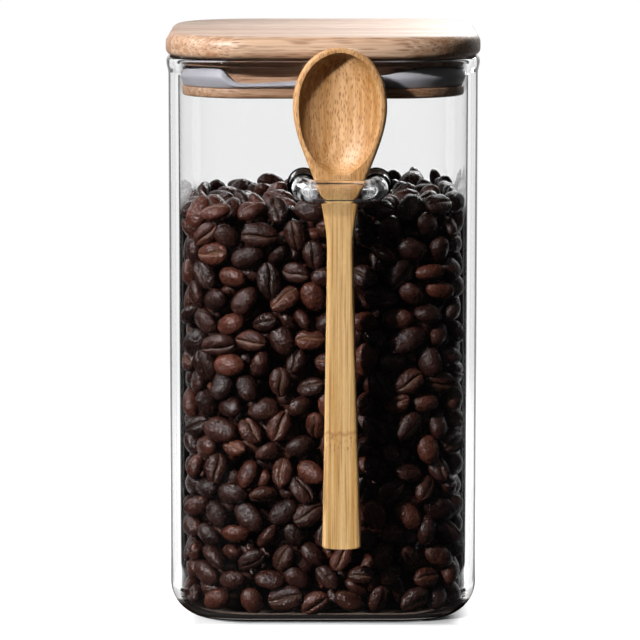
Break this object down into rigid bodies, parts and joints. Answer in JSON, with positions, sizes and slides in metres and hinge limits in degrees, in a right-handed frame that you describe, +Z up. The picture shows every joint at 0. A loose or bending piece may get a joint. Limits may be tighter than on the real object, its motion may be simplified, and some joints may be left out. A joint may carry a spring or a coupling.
{
  "type": "food canister",
  "caption": "Square glass storage jar with a sealed bamboo lid, filled with coffee beans, and a bamboo spoon hanging in a glass loop on its front.",
  "frame": {"origin": "middle of the jar's flat base, on the surface it stands on", "axes": "+Z up along the jar's height; the spoon and its loop are on the -Y side; +X to the right seen from the spoon's side"},
  "size_m": [0.1016, 0.1185, 0.191],
  "materials": {
    "glass": "gloss",
    "coffee_bean": "satin",
    "bamboo_light": "satin",
    "bamboo_spoon": "satin",
    "silicone": "satin"
  },
  "bodies": {
    "jar": {"glass_jar": "glass", "spoon_loop": "glass", "coffee_beans": "coffee_bean"},
    "lid": {"board_lath_1": "bamboo_light", "board_lath_2": "bamboo_light", "board_lath_3": "bamboo_light", "board_lath_4": "bamboo_light", "plug_lath_1": "bamboo_light", "plug_lath_2": "bamboo_light", "plug_lath_3": "bamboo_light", "plug_lath_4": "bamboo_light", "seal_ring": "silicone"},
    "spoon": {"spoon": "bamboo_spoon"}
  },
  "joints": [
    {"name": "lid_lift", "type": "slide", "parent": "jar", "child": "lid", "axis": [0, 0, 1], "range_m": [0, 0.09]},
    {"name": "spoon_lift", "type": "slide", "parent": "jar", "child": "spoon", "axis": [0, 0, 1], "range_m": [0, 0.15]}
  ]
}
